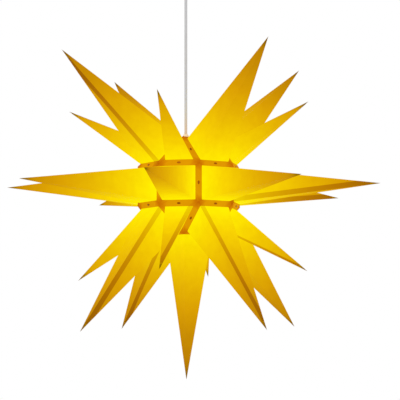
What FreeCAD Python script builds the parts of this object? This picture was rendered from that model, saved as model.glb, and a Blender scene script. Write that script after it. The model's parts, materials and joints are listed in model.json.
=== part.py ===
import FreeCAD, Part

import math
import os

from FreeCAD import Vector

# A paper star of twenty-five hollow points, hung on its lamp cord from a ceiling canopy.
# Millimetres. The origin is the centre of the ceiling bracket's top face, +Z is up, and
# the side that is usually looked at faces -Y.

# ---- The star --------------------------------------------------------------------------
star_drop = 380.0  # ceiling to the star's centre
star_shift = 5.0  # the lid's hole is this far left of the star's centre
core_edge = 63.0  # edge of the 26-faced body that the points stand on
core_turn = 33.0  # the body's turn about the cord
long_reach = 300.0  # star's centre to the tip of a four-sided point
short_reach = 230.5  # star's centre to the tip of a three-sided point
paper = 0.4  # thickness of the paper
base_inset = 5.4  # a point's base line to the edge of the body
wall_overrun = 0.1  # how far a point's wall runs past the lower layer of flaps
flap_gap = 0.6  # free edge of a flap to the neighbouring point's wall
flap_trim = 0.35  # what is cut off a flap's slanting ends
flap_root = 0.3  # how far a flap reaches into its own wall
lap_width = 7.5  # glue lap inside each point
lap_stop = 16.0  # where the glue lap stops short of the tip

# ---- Paper fasteners -------------------------------------------------------------------
pin_head_length = 5.5
pin_head_width = 3.0
pin_head_height = 0.9
pin_head_edge = 0.35  # chamfer of the head
pin_shank_width = 2.4
pin_shank_thickness = 1.2
pin_leg_length = 8.0
pin_leg_thickness = 0.5
pin_hole = 3.2  # hole in a flap

# ---- Cord ------------------------------------------------------------------------------
cord_d = 4.5
core_d = 1.8  # one insulated core
core_spread = 2.2  # between the cores' centres where the sheath ends
core_bend = 2.2  # radius of a core's bends
core_straight = 3.0  # straight end of a core
joint_gap = 0.3  # between two lengths of cord where they turn
running_gap = 0.06  # all round a shaft in its bore
same_place = 0.001  # two corners closer than this are one corner

# ---- Lid and cord grip of the star -----------------------------------------------------
plate_side = 46.0
plate_thickness = 1.5
stem_d = 10.0
stem_clearance = 0.2  # all round the stem, in lid, plate and canopy
flange_d = 18.0
flange_height = 2.5
star_grip_height = 7.6
star_grip_foot_d = 12.0
star_grip_top_d = 6.6
cord_entry_depth = 6.0  # how far the cord goes into the star's grip
sheath_tail = 2.0  # sheath that is left below the grip's stem
nut_width = 14.0  # across flats
nut_height = 4.0

# ---- Lampholder ------------------------------------------------------------------------
holder_d = 39.0
holder_wall = 1.8
holder_neck_d = 18.0
holder_neck_height = 4.0
holder_cone_height = 13.0
holder_cap_height = 22.0
holder_body_height = 28.0
holder_spigot_height = 4.0
holder_mouth_wall = 2.6
insert_depth = 2.0  # seat of the insert below the top of the body
insert_height = 6.0
fit_gap = 0.1  # between pieces that are pushed together
thread_pitch = 3.6
thread_depth = 0.7
socket_shell_d = 28.6  # threaded shell, outside
metal_sheet = 0.4
socket_shell_length = 22.0
socket_opening_d = 18.0  # hole in the shell's upper end
centre_contact_d = 6.0
centre_contact_height = 3.0
screw_head_d = 4.4
screw_head_height = 1.6
screw_shank_d = 2.6
screw_shank_length = 4.0
slot_width = 0.8
slot_depth = 0.8
holder_screw_spacing = 16.0

# ---- Lamp ------------------------------------------------------------------------------
lamp_length = 78.0
globe_d = 45.0
globe_wall = 1.2
lamp_cap_gap = 1.3  # all round the lamp's cap, inside the threaded shell
lamp_cap_d = socket_shell_d - 2 * lamp_cap_gap
lamp_tip_d = 9.0
lamp_tip_height = 1.2
insulator_height = 3.2
insulator_d = 21.0
lamp_shell_length = 21.6
housing_lip = 0.5  # the housing's neck past the lamp's cap, all round
globe_shoulder = 13.5  # globe's centre up to the rim of the housing
housing_wall = 1.4
board_d = 28.0
board_thickness = 1.6
contact_gap = 0.3  # lamp's tip to the centre contact

# ---- Ceiling side ----------------------------------------------------------------------
canopy_d = 76.0
canopy_height = 50.0
canopy_wall = 1.5
canopy_round = 12.0
ceiling_grip_height = 14.0
ceiling_grip_foot_d = 13.0
ceiling_grip_end_d = 12.5
ceiling_stem_length = 12.0
mouth_depth = 6.5
mouth_top_d = 5.2
mouth_d = 9.2
bracket_width = 20.0
bracket_thickness = 2.0
bracket_tab = 14.0
bracket_hole_d = 5.0
bracket_hole_spacing = 40.0
bracket_side_gap = 0.3
side_screw_d = 3.0
side_screw_drop = 9.0
side_screw_head_d = 6.0
side_screw_head_height = 2.0
side_screw_length = 8.0
side_screw_clearance = 0.15
block_length = 18.0
block_width = 16.0
block_height = 13.0
block_pole_spacing = 8.0
block_hole_d = 3.0
block_hole_depth = 5.0
block_screw_recess = 1.0  # how deep the heads of the terminal screws lie
tail_top_drop = 26.0  # ceiling to the end of the cord's sheath
upper_pivot_rise = 3.0  # first bend of the cord above the grip's mouth
lower_pivot_drop = 6.0  # second bend of the cord below the grip's mouth

# How far each tip sits from its true place: (towards larger azimuth, upwards). Paper points
# droop, and these are read off the star tip by tip, starting behind the left-hand side.
tip_leans = {
    "belt_point": [(-9, -6), (-2, 6), (4, -3), (0, -1), (-5, -6), (5, 1), (1, -2), (0, -2)],
    "upper_square_point": [(5, -19), (-3, -21), (-4, -11), (0, -8)],
    "upper_triangle_point": [(8, -10), (-7, -8), (1, -3), (0, -5)],
    "lower_square_point": [(1, -11), (6, -21), (6, -18), (3, -7)],
    "lower_triangle_point": [(1, -15), (-5, -5), (-9, -1), (7, 0)],
    "bottom_point": [(-4, -1)],
}

# The wall of each point that holds its glue lap, and the end of that wall's base line where
# the lap starts, as seen from outside the star.
glue_laps = {
    "belt_point": [
        "left down", "left down", "left down", "left up",
        "right down", "left down", "left down", "right down",
    ],
    "upper_square_point": ["down right", "down right", "right up", "right up"],
    "upper_triangle_point": ["left up", "left up", "right up", "right up"],
    "lower_square_point": ["down right", "right up", "up left", "right down"],
    "lower_triangle_point": ["left up", "up right", "left down", "right up"],
    "bottom_point": ["up right"],
}

os.makedirs("parts", exist_ok=True)

UP = Vector(0, 0, 1)
star_centre = Vector(star_shift, 0, -star_drop)
core_half = core_edge * (1 + math.sqrt(2)) / 2  # centre of the star to a square of the body


# ---- Helpers ---------------------------------------------------------------------------
def unit(vector):
    return Vector(vector).normalize()


def middle_of(points):
    total = Vector(0, 0, 0)
    for point in points:
        total = total + point
    return total * (1.0 / len(points))


def polygon_face(points):
    return Part.Face(Part.makePolygon(list(points) + [points[0]]))


def solid_of(polygons):
    solid = Part.Solid(Part.Shell([polygon_face(points) for points in polygons]))
    if solid.Volume < 0:
        solid.reverse()
    return solid


def clip(points, origin, outward):
    """The part of a flat polygon that lies behind the plane at origin."""
    kept = []
    for here, after in zip(points, points[1:] + points[:1]):
        side_here = (here - origin).dot(outward)
        side_after = (after - origin).dot(outward)
        if side_here <= 0:
            kept.append(here)
        if side_here * side_after < 0:
            kept.append(here + (after - here) * (side_here / (side_here - side_after)))
    return kept


def turned(*steps):
    """A solid of revolution about Z. A step is (radius, z), or a point to pass and an end for an arc."""
    first = Vector(steps[0][0], 0, steps[0][1])
    last = first
    edges = []
    for step in steps[1:]:
        if isinstance(step[0], tuple):
            through, end = (Vector(r, 0, z) for r, z in step)
            edges.append(Part.Arc(last, through, end).toShape())
        else:
            end = Vector(step[0], 0, step[1])
            edges.append(Part.LineSegment(last, end).toShape())
        last = end
    if (last - first).Length > same_place:
        edges.append(Part.LineSegment(last, first).toShape())
    return Part.Face(Part.Wire(edges)).revolve(Vector(0, 0, 0), UP, 360)


def cylinder(diameter, start, along):
    return Part.makeCylinder(diameter / 2, along.Length, start, along)


def box(size_x, size_y, size_z, middle):
    corner = middle - Vector(size_x, size_y, size_z) * 0.5
    return Part.makeBox(size_x, size_y, size_z, corner)


def tube(points, diameter, bend):
    """A round tube along straight runs that are joined by tangent arcs."""
    edges = []
    start = points[0]
    for before, corner, after in zip(points, points[1:], points[2:]):
        come = unit(corner - before)
        leave = unit(after - corner)
        turn = come.getAngle(leave)
        reach = bend * math.tan(turn / 2)
        arc_start = corner - come * reach
        arc_end = corner + leave * reach
        inwards = unit(leave - come)
        centre = corner + inwards * (bend / math.cos(turn / 2))
        edges.append(Part.LineSegment(start, arc_start).toShape())
        edges.append(Part.Arc(arc_start, centre - inwards * bend, arc_end).toShape())
        start = arc_end
    edges.append(Part.LineSegment(start, points[-1]).toShape())
    ring = Part.Wire(Part.Circle(points[0], unit(points[1] - points[0]), diameter / 2).toShape())
    return Part.Wire(edges).makePipeShell([ring], True, False)


def save(node, shape):
    solids = shape.Solids
    for solid in solids:
        if not solid.isValid() or solid.Volume <= 0:
            print("CHECK", node, "has a bad solid")
    shape.exportStep(f"parts/{node}.step")
    volume = sum(solid.Volume for solid in solids)
    print(f"{node}: {len(solids)} solid(s), {volume / 1000:.3f} cm3")


# ---- The 26-faced body -----------------------------------------------------------------
class CoreFace:
    """One face of the body: its corners in order, centre, outward normal and place in the star."""

    def __init__(self, normal, corners):
        self.normal = normal
        self.centre = middle_of(corners)
        first = unit(corners[0] - self.centre)
        second = normal.cross(first)
        self.corners = sorted(
            corners,
            key=lambda p: math.atan2((p - self.centre).dot(second), (p - self.centre).dot(first)),
        )
        self.elevation = math.degrees(math.asin(max(-1.0, min(1.0, normal.z))))
        upright = abs(self.elevation) > 89
        self.azimuth = 0.0 if upright else math.degrees(math.atan2(normal.x, -normal.y))
        angle = math.radians(self.azimuth)
        self.right = Vector(math.cos(angle), math.sin(angle), 0)
        self.up = Vector(0, 1, 0) if upright else self.right.cross(normal) * -1
        self.neighbours = []
        self.order = 0
        self.name = ""

    def towards(self, word):
        ways = {"up": self.up, "down": self.up * -1, "right": self.right, "left": self.right * -1}
        return ways[word]

    def side(self, index):
        return self.corners[index], self.corners[(index + 1) % len(self.corners)]


def core_corners():
    """The 24 corners: every order and sign of half an edge, half an edge and the long half."""
    turn = FreeCAD.Rotation(UP, core_turn)
    half = core_edge / 2
    corners = []
    for long_axis in range(3):
        for sign_a in (-1, 1):
            for sign_b in (-1, 1):
                for sign_c in (-1, 1):
                    place = [sign_a * half, sign_b * half]
                    place.insert(long_axis, sign_c * core_half)
                    corners.append(star_centre + turn.multVec(Vector(*place)))
    return corners


def core_faces():
    turn = FreeCAD.Rotation(UP, core_turn)
    corners = core_corners()
    faces = []
    for x in (-1, 0, 1):
        for y in (-1, 0, 1):
            for z in (-1, 0, 1):
                if (x, y, z) == (0, 0, 0):
                    continue
                normal = unit(turn.multVec(Vector(x, y, z)))
                furthest = max((corner - star_centre).dot(normal) for corner in corners)
                own = [
                    corner
                    for corner in corners
                    if furthest - (corner - star_centre).dot(normal) < same_place
                ]
                faces.append(CoreFace(normal, own))
    return faces


def name_faces(faces):
    """Names by tier, numbered round the star, and the order in which the star is put together."""
    tiers = {}
    for face in faces:
        if face.elevation > 89:
            tier = "star_cover"
        elif face.elevation < -89:
            tier = "bottom_point"
        elif abs(face.elevation) < 1:
            tier = "belt_point"
        else:
            height = "upper" if face.elevation > 0 else "lower"
            shape = "square" if len(face.corners) == 4 else "triangle"
            tier = f"{height}_{shape}_point"
        tiers.setdefault(tier, []).append(face)
    named = {}
    for tier, members in tiers.items():
        members.sort(key=lambda face: face.azimuth)
        for number, face in enumerate(members, 1):
            single = len(members) == 1
            face.tier = tier
            face.number = number
            face.name = tier if single else f"{tier}_{number}"
            named[face.name] = face
    build_order = sorted(named, key=lambda name: (-round(named[name].centre.z, 3), name))
    for order, name in enumerate(build_order):
        named[name].order = order
    return named


def share_edge(side, other):
    ends = [corner for corner in side for far in other if (corner - far).Length < same_place]
    return len(ends) == 2


def find_neighbours(faces):
    for face in faces:
        for index in range(len(face.corners)):
            for other in faces:
                if other is face:
                    continue
                sides = [other.side(place) for place in range(len(other.corners))]
                if any(share_edge(face.side(index), side) for side in sides):
                    face.neighbours.append(other)


# ---- Joins between points --------------------------------------------------------------
class Join:
    """The band between two neighbouring points, seen from the first of them."""

    def __init__(self, face, index):
        self.face = face
        self.other = face.neighbours[index]
        self.ends = face.side(index)
        self.outward = unit(face.normal + self.other.normal)
        edge_middle = middle_of(self.ends)
        self.root = edge_middle + unit(face.centre - edge_middle) * base_inset
        far = edge_middle + unit(self.other.centre - edge_middle) * base_inset
        self.along = unit(self.ends[1] - self.ends[0])
        self.across = unit(far - self.root)
        self.width = (far - self.root).Length
        self.middle = (self.root + far) * 0.5

    def flap(self):
        """The flap of the first point: it lies over the other's if its point is fitted first."""
        near = self.root - self.across * flap_root
        far = self.root + self.across * (self.width - flap_gap)
        reach = self.along * core_edge
        shape = [near - reach, near + reach, far + reach, far - reach]
        for corner in self.ends:
            for face in (self.face, self.other):
                cut = unit((corner - star_centre).cross(face.centre - star_centre))
                if (self.middle - star_centre).dot(cut) > 0:
                    cut = cut * -1
                shape = clip(shape, star_centre - cut * flap_trim, cut)
        rise = paper if self.face.order < self.other.order else -paper
        return polygon_face(shape).extrude(self.outward * rise)

    def hole(self):
        start = self.middle - self.outward * (2 * paper)
        return cylinder(pin_hole, start, self.outward * (4 * paper))


# ---- One folded paper point ------------------------------------------------------------
def base_corners(face, inset):
    """The face's corners, drawn in by inset from every edge."""
    apothem = (middle_of(face.side(0)) - face.centre).Length
    share = 1 - inset / apothem
    return [face.centre + (corner - face.centre) * share for corner in face.corners]


def tip_of(face):
    reach = long_reach if len(face.corners) == 4 else short_reach
    side, rise = tip_leans[face.tier][face.number - 1]
    return star_centre + face.normal * reach + face.right * side + face.up * rise


def hollow_point(face):
    """The four or three walls, open at the base, and the space that they enclose."""
    tip = tip_of(face)
    foot = paper + wall_overrun
    height = (tip - face.centre).dot(face.normal)
    base = [corner + (corner - tip) * (foot / height) for corner in base_corners(face, base_inset)]
    centre = middle_of(base)
    half_width = (middle_of(base[:2]) - centre).Length
    wall_distance = half_width * height / math.hypot(half_width, height)
    share = 1 - paper / wall_distance
    inner_base = [centre + (corner - centre) * share for corner in base]
    inner_tip = centre + (tip - centre) * share
    count = len(base)
    walls = []
    cavity = [list(reversed(inner_base))]
    for here in range(count):
        after = (here + 1) % count
        walls.append([base[here], base[after], tip])
        walls.append([inner_base[after], inner_base[here], inner_tip])
        walls.append([base[after], base[here], inner_base[here], inner_base[after]])
        cavity.append([inner_base[here], inner_base[after], inner_tip])
    return solid_of(walls), solid_of(cavity), inner_base, inner_tip


def glue_lap(face, cavity, inner_base, inner_tip):
    """The doubled strip inside the point, along the crease where its sheet is closed."""
    wall_word, end_word = glue_laps[face.tier][face.number - 1].split()
    count = len(inner_base)
    sides = [(inner_base[here], inner_base[(here + 1) % count]) for here in range(count)]
    centre = middle_of(inner_base)
    side = max(sides, key=lambda ends: (middle_of(ends) - centre).dot(face.towards(wall_word)))
    crease_foot, free_foot = sorted(side, key=lambda p: -(p - centre).dot(face.towards(end_word)))
    crease = unit(inner_tip - crease_foot)
    inwards = unit((free_foot - crease_foot).cross(crease))
    if (centre - crease_foot).dot(inwards) < 0:
        inwards = inwards * -1
    across = unit((free_foot - crease_foot) - crease * (free_foot - crease_foot).dot(crease))
    strip = clip([crease_foot, free_foot, inner_tip], crease_foot + across * lap_width, across)
    strip = clip(strip, inner_tip - face.normal * lap_stop, face.normal)
    plate = polygon_face(strip).extrude(inwards * paper)
    return plate.common(cavity)


def stem_hole(top, depth):
    """The hole for the stem of the star's cord grip, on the cord's line."""
    return cylinder(stem_d + 2 * stem_clearance, Vector(0, 0, top - depth), UP * depth)


def paper_point(face):
    walls, cavity, inner_base, inner_tip = hollow_point(face)
    joins = [Join(face, index) for index in range(len(face.corners))]
    flaps = [join.flap() for join in joins]
    lap = glue_lap(face, cavity, inner_base, inner_tip)
    point = walls.fuse(flaps + lap.Solids).removeSplitter()
    return point.cut([join.hole() for join in joins])


def cover(face):
    """The lid of the opening that the cord enters: doubled card with a flap on each side."""
    corners = [corner - face.normal * paper for corner in base_corners(face, base_inset)]
    plate = polygon_face(corners).extrude(face.normal * (2 * paper))
    joins = [Join(face, index) for index in range(len(face.corners))]
    lid = plate.fuse([join.flap() for join in joins]).removeSplitter()
    holes = [join.hole() for join in joins]
    holes.append(stem_hole(cover_top, 2 * paper))
    return lid.cut(holes)


# ---- Paper fasteners -------------------------------------------------------------------
def paper_fastener():
    """An oval head, a flat shank and two legs bent flat, in a frame with the paper at z = 0."""
    oval = Part.Ellipse(Vector(0, 0, paper), pin_head_length / 2, pin_head_width / 2)
    head = Part.Face(Part.Wire(oval.toShape())).extrude(UP * pin_head_height)
    top = [edge for edge in head.Edges if edge.BoundBox.ZMin > paper + pin_head_height / 2]
    head = head.makeChamfer(pin_head_edge, top)
    shank_height = 2 * paper + pin_leg_thickness
    shank_middle = Vector(0, 0, paper - shank_height / 2)
    shank = box(pin_shank_thickness, pin_shank_width, shank_height, shank_middle)
    half = pin_shank_width / 2
    below = -paper - pin_leg_thickness
    pieces = [shank]
    for way in (-1, 1):
        outline = [
            Vector(0, -half, below),
            Vector(way * (pin_leg_length - half), -half, below),
            Vector(way * pin_leg_length, 0, below),
            Vector(way * (pin_leg_length - half), half, below),
            Vector(0, half, below),
        ]
        pieces.append(polygon_face(outline).extrude(UP * pin_leg_thickness))
    return head.fuse(pieces).removeSplitter()


def fastener_group(height, pattern, joins):
    """Copies of the fastener in every join whose middle is at this height above the star's centre."""
    placed = []
    for join in joins:
        if abs(middle_of(join.ends).z - star_centre.z - height) < same_place:
            y = join.outward.cross(join.along)
            x = join.along
            z = join.outward
            at = join.middle
            frame = FreeCAD.Matrix(
                x.x, y.x, z.x, at.x, x.y, y.y, z.y, at.y, x.z, y.z, z.z, at.z, 0, 0, 0, 1
            )
            copy = pattern.copy()
            copy.Placement = FreeCAD.Placement(frame)
            placed.append(copy)
    return Part.makeCompound(placed)


# ---- Cord grips and nuts ---------------------------------------------------------------
def hex_nut(top, bore_d):
    """A six-sided nut whose upper face is at z = top."""
    radius = nut_width / math.sqrt(3)
    ring = []
    for step in range(6):
        angle = math.radians(60 * step)
        ring.append(Vector(radius * math.cos(angle), radius * math.sin(angle), top - nut_height))
    blank = polygon_face(ring).extrude(UP * nut_height)
    return blank.cut(cylinder(bore_d, Vector(0, 0, top - nut_height), UP * nut_height))


cover_top = star_centre.z + core_half + paper
cover_bottom = cover_top - 2 * paper
plate_bottom = cover_bottom - plate_thickness
holder_top = plate_bottom - nut_height
stem_bottom = holder_top - holder_neck_height
star_grip_top = cover_top + star_grip_height
cord_bore_r = cord_d / 2 + running_gap


def star_grip():
    foot = cover_top + flange_height
    return turned(
        (cord_bore_r, star_grip_top),
        (star_grip_top_d / 2, star_grip_top),
        (star_grip_foot_d / 2, foot),
        (flange_d / 2, foot),
        (flange_d / 2, cover_top),
        (stem_d / 2, cover_top),
        (stem_d / 2, stem_bottom),
        (cord_bore_r, stem_bottom),
    )


def hanger_plate():
    middle = Vector(star_centre.x, star_centre.y, plate_bottom + plate_thickness / 2)
    blank = box(plate_side, plate_side, plate_thickness, middle)
    blank.rotate(middle, UP, core_turn)
    return blank.cut(stem_hole(cover_bottom, plate_thickness))


# ---- Lampholder ------------------------------------------------------------------------
holder_r = holder_d / 2
holder_body_top = holder_top - holder_cap_height
holder_bottom = holder_body_top - holder_body_height
insert_seat = holder_body_top - insert_depth
insert_r = holder_r - holder_wall - fit_gap - holder_mouth_wall
shell_r = socket_shell_d / 2


def lampholder_cap():
    inner = holder_r - holder_wall
    neck = holder_neck_d / 2
    cone_foot = holder_top - holder_cone_height
    return turned(
        (stem_d / 2 + running_gap, holder_top),
        (neck, holder_top),
        (holder_r, cone_foot),
        (holder_r, holder_body_top),
        (inner, holder_body_top),
        (inner, cone_foot),
        (neck, holder_top - holder_neck_height),
        (stem_d / 2 + running_gap, holder_top - holder_neck_height),
    )


def lampholder_body():
    spigot_r = holder_r - holder_wall - fit_gap
    well_r = insert_r + fit_gap
    mouth_r = shell_r + fit_gap
    return turned(
        (well_r, holder_body_top + holder_spigot_height),
        (spigot_r, holder_body_top + holder_spigot_height),
        (spigot_r, holder_body_top),
        (holder_r, holder_body_top),
        (mouth_r + holder_mouth_wall, holder_bottom),
        (mouth_r, holder_bottom),
        (mouth_r, insert_seat),
        (well_r, insert_seat),
    )


def lampholder_insert():
    top = insert_seat + insert_height
    disc = cylinder(2 * insert_r, Vector(0, 0, insert_seat), UP * insert_height)
    holes = []
    for way in (-1, 1):
        at = Vector(way * holder_screw_spacing / 2, 0, top - screw_shank_length)
        holes.append(cylinder(screw_shank_d + 2 * fit_gap, at, UP * screw_shank_length))
    return disc.cut(holes)


def thread(radius, start, end):
    """Arc steps along a rolled thread: round crests one pitch apart, from one height to another."""
    count = round(abs(end - start) / thread_pitch)
    step = (end - start) / count
    crest = radius + thread_depth
    spots = [start + step * turn for turn in range(count)]
    return [((crest, spot + step / 2), (radius, spot + step)) for spot in spots]


def lampholder_shell():
    outer = shell_r - thread_depth
    inner = outer - metal_sheet
    opening = socket_opening_d / 2
    shoulder = insert_seat - metal_sheet
    low = shoulder - socket_shell_length
    return turned(
        (opening, insert_seat),
        (outer, insert_seat),
        (outer, shoulder),
        *thread(outer, shoulder, low),
        (inner, low),
        *thread(inner, low, shoulder),
        (opening, shoulder),
    )


def centre_contact():
    start = Vector(0, 0, insert_seat - centre_contact_height)
    return cylinder(centre_contact_d, start, UP * centre_contact_height)


def slotted_screw(head_top, at_x, at_y):
    """A small screw that stands upright, head up."""
    head_low = Vector(at_x, at_y, head_top - screw_head_height)
    head = cylinder(screw_head_d, head_low, UP * screw_head_height)
    slot_middle = Vector(at_x, at_y, head_top - slot_depth / 2)
    slot = box(2 * screw_head_d, slot_width, slot_depth, slot_middle)
    shank = cylinder(screw_shank_d, head_low - UP * screw_shank_length, UP * screw_shank_length)
    return head.cut(slot).fuse(shank).removeSplitter()


def lampholder_screws():
    top = insert_seat + insert_height + screw_head_height
    reach = holder_screw_spacing / 2
    return Part.makeCompound([slotted_screw(top, -reach, 0), slotted_screw(top, reach, 0)])


def lamp_lead():
    """The end of the sheath below the grip's stem, and two cores that run to the terminal screws."""
    sheath_top = star_grip_top - cord_entry_depth - joint_gap
    sheath_end = stem_bottom - sheath_tail
    solids = [cylinder(cord_d, Vector(0, 0, sheath_end), UP * (sheath_top - sheath_end))]
    core_end = insert_seat + insert_height
    beside_screw = holder_screw_spacing / 2 - screw_head_d / 2 - core_d / 2 - fit_gap
    for way in (-1, 1):
        inner_x = way * core_spread / 2
        outer_x = way * beside_screw
        route = [
            Vector(inner_x, 0, sheath_end),
            Vector(inner_x, 0, sheath_end - core_straight),
            Vector(outer_x, 0, core_end + core_straight),
            Vector(outer_x, 0, core_end),
        ]
        solids.append(tube(route, core_d, core_bend))
    return Part.makeCompound(solids)


# ---- Lamp ------------------------------------------------------------------------------
lamp_tip = insert_seat - centre_contact_height - contact_gap
insulator_top = lamp_tip - lamp_tip_height
lamp_shell_top = insulator_top - insulator_height
lamp_shell_bottom = lamp_shell_top - lamp_shell_length
globe_r = globe_d / 2
globe_centre = lamp_tip - lamp_length + globe_r
housing_bottom = globe_centre + globe_shoulder


def lamp_contact():
    return cylinder(lamp_tip_d, Vector(0, 0, insulator_top), UP * lamp_tip_height)


def lamp_insulator():
    return turned(
        (0, insulator_top),
        (lamp_tip_d / 2, insulator_top),
        (insulator_d / 2, lamp_shell_top),
        (0, lamp_shell_top),
    )


def lamp_shell():
    root = lamp_cap_d / 2 - thread_depth
    inner = root - metal_sheet
    under_lid = lamp_shell_top - metal_sheet
    return turned(
        (0, lamp_shell_top),
        (root, lamp_shell_top),
        *thread(root, lamp_shell_top, lamp_shell_bottom),
        (inner, lamp_shell_bottom),
        (inner, under_lid),
        (0, under_lid),
    )


def globe_radius_at(z, radius):
    return math.sqrt(radius ** 2 - (z - globe_centre) ** 2)


def lamp_housing():
    neck = lamp_cap_d / 2 + housing_lip
    foot = globe_radius_at(housing_bottom, globe_r)
    return turned(
        (lamp_cap_d / 2 - thread_depth - metal_sheet, lamp_shell_bottom),
        (neck, lamp_shell_bottom),
        (foot, housing_bottom),
        (0, housing_bottom),
        (0, housing_bottom + housing_wall),
        (foot - housing_wall, housing_bottom + housing_wall),
        (neck - housing_wall, lamp_shell_bottom - housing_wall),
        (lamp_cap_d / 2 - thread_depth - metal_sheet, lamp_shell_bottom - housing_wall),
    )


def lamp_globe():
    inner_r = globe_r - globe_wall
    return turned(
        (globe_radius_at(housing_bottom, inner_r), housing_bottom),
        (globe_radius_at(housing_bottom, globe_r), housing_bottom),
        ((globe_r, globe_centre), (0, globe_centre - globe_r)),
        (0, globe_centre - inner_r),
        ((inner_r, globe_centre), (globe_radius_at(housing_bottom, inner_r), housing_bottom)),
    )


def lamp_board():
    start = Vector(0, 0, housing_bottom - board_thickness)
    return cylinder(board_d, start, UP * board_thickness)


# ---- Ceiling canopy --------------------------------------------------------------------
canopy_r = canopy_d / 2
canopy_floor = -canopy_height + canopy_wall
grip_end = -canopy_height - ceiling_grip_height
upper_pivot = grip_end + upper_pivot_rise
lower_pivot = grip_end - lower_pivot_drop
side_screw_z = -side_screw_drop
tab_outer = canopy_r - canopy_wall - bracket_side_gap


def side_screw_hole(clearance):
    start = Vector(-canopy_d, 0, side_screw_z)
    return cylinder(side_screw_d + 2 * clearance, start, Vector(2 * canopy_d, 0, 0))


def canopy():
    slant = math.sqrt(0.5)
    inner_round = canopy_round - canopy_wall
    inner_r = canopy_r - canopy_wall
    centre_r = canopy_r - canopy_round
    centre_z = -canopy_height + canopy_round
    hole_r = stem_d / 2 + stem_clearance
    outer_bend = (centre_r + canopy_round * slant, centre_z - canopy_round * slant)
    inner_bend = (centre_r + inner_round * slant, centre_z - inner_round * slant)
    cup = turned(
        (canopy_r, 0),
        (canopy_r, centre_z),
        (outer_bend, (centre_r, -canopy_height)),
        (hole_r, -canopy_height),
        (hole_r, canopy_floor),
        (centre_r, canopy_floor),
        (inner_bend, (inner_r, centre_z)),
        (inner_r, 0),
    )
    return cup.cut(side_screw_hole(side_screw_clearance))


def ceiling_bracket():
    strip = box(2 * tab_outer, bracket_width, bracket_thickness, Vector(0, 0, -bracket_thickness / 2))
    tabs = []
    for way in (-1, 1):
        middle = Vector(way * (tab_outer - bracket_thickness / 2), 0, -bracket_tab / 2)
        tabs.append(box(bracket_thickness, bracket_width, bracket_tab, middle))
    holes = [side_screw_hole(running_gap)]
    for way in (-1, 1):
        at = Vector(way * bracket_hole_spacing / 2, 0, -bracket_thickness)
        holes.append(cylinder(bracket_hole_d, at, UP * bracket_thickness))
    rim = cylinder(2 * tab_outer, Vector(0, 0, -bracket_tab), UP * bracket_tab)
    return strip.fuse(tabs).removeSplitter().common(rim).cut(holes)


def side_screws():
    screws = []
    for way in (-1, 1):
        outward = Vector(way, 0, 0)
        seat = Vector(way * canopy_r, 0, side_screw_z)
        head = cylinder(side_screw_head_d, seat, outward * side_screw_head_height)
        slot_at = seat + outward * (side_screw_head_height - slot_depth / 2)
        slot = box(slot_depth, 2 * side_screw_head_d, slot_width, slot_at)
        shank = cylinder(side_screw_d, seat, outward * -side_screw_length)
        screws.append(head.cut(slot).fuse(shank).removeSplitter())
    return Part.makeCompound(screws)


def ceiling_grip():
    flange_low = -canopy_height - flange_height
    bore_r = cord_bore_r
    return turned(
        (bore_r, canopy_floor + ceiling_stem_length),
        (stem_d / 2, canopy_floor + ceiling_stem_length),
        (stem_d / 2, -canopy_height),
        (flange_d / 2, -canopy_height),
        (flange_d / 2, flange_low),
        (ceiling_grip_foot_d / 2, flange_low),
        (ceiling_grip_end_d / 2, grip_end),
        (mouth_d / 2, grip_end),
        (mouth_top_d / 2, grip_end + mouth_depth),
        (bore_r, grip_end + mouth_depth),
    )


def terminal_block():
    middle = Vector(0, 0, -bracket_thickness - block_height / 2)
    block = box(block_length, block_width, block_height, middle)
    holes = []
    low = -bracket_thickness - block_height
    for way in (-1, 1):
        pole = Vector(way * block_pole_spacing / 2, 0, low)
        holes.append(cylinder(block_hole_d, pole, UP * block_hole_depth))
        drive = Vector(pole.x, -block_width / 2, low + block_hole_depth)
        inwards = Vector(0, screw_head_height + block_screw_recess, 0)
        holes.append(cylinder(screw_head_d + 2 * fit_gap, drive, inwards))
    return block.cut(holes)


def terminal_screws():
    screws = []
    low = -bracket_thickness - block_height + block_hole_depth
    for way in (-1, 1):
        start = Vector(way * block_pole_spacing / 2, block_screw_recess - block_width / 2, low)
        head = cylinder(screw_head_d, start, Vector(0, screw_head_height, 0))
        slot_at = start + Vector(0, slot_depth / 2, 0)
        slot = box(2 * screw_head_d, slot_depth, slot_width, slot_at)
        screws.append(head.cut(slot))
    return Part.makeCompound(screws)


# ---- Cord ------------------------------------------------------------------------------
def ball(z):
    return Part.makeSphere(cord_d / 2, Vector(0, 0, z))


def cord_tail():
    """The end of the cord inside the canopy: sheath, then two cores up into the terminal block."""
    low = upper_pivot + cord_d / 2 + joint_gap
    solids = [cylinder(cord_d, Vector(0, 0, low), UP * (-tail_top_drop - low))]
    block_low = -bracket_thickness - block_height
    for way in (-1, 1):
        inner_x = way * core_spread / 2
        outer_x = way * block_pole_spacing / 2
        route = [
            Vector(inner_x, 0, -tail_top_drop),
            Vector(inner_x, 0, core_straight - tail_top_drop),
            Vector(outer_x, 0, block_low - core_straight),
            Vector(outer_x, 0, block_low + block_hole_depth - fit_gap),
        ]
        solids.append(tube(route, core_d, core_bend))
    return Part.makeCompound(solids)


def cord_bend():
    """The short length between the two places where the cord bends under the ceiling."""
    low = lower_pivot + cord_d / 2 + joint_gap
    length = cylinder(cord_d, Vector(0, 0, low), UP * (upper_pivot - low))
    return length.fuse(ball(upper_pivot)).removeSplitter()


def cord():
    low = star_grip_top - cord_entry_depth
    length = cylinder(cord_d, Vector(0, 0, low), UP * (lower_pivot - low))
    return length.fuse(ball(lower_pivot)).removeSplitter()


# ---- Everything, one node at a time ----------------------------------------------------
all_faces = core_faces()
find_neighbours(all_faces)
faces = name_faces(all_faces)

for name, face in faces.items():
    save(name, cover(face) if name == "star_cover" else paper_point(face))

all_joins = []
for face in all_faces:
    for index, other in enumerate(face.neighbours):
        if face.order < other.order:
            all_joins.append(Join(face, index))
print(len(all_joins), "joins between points")

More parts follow.
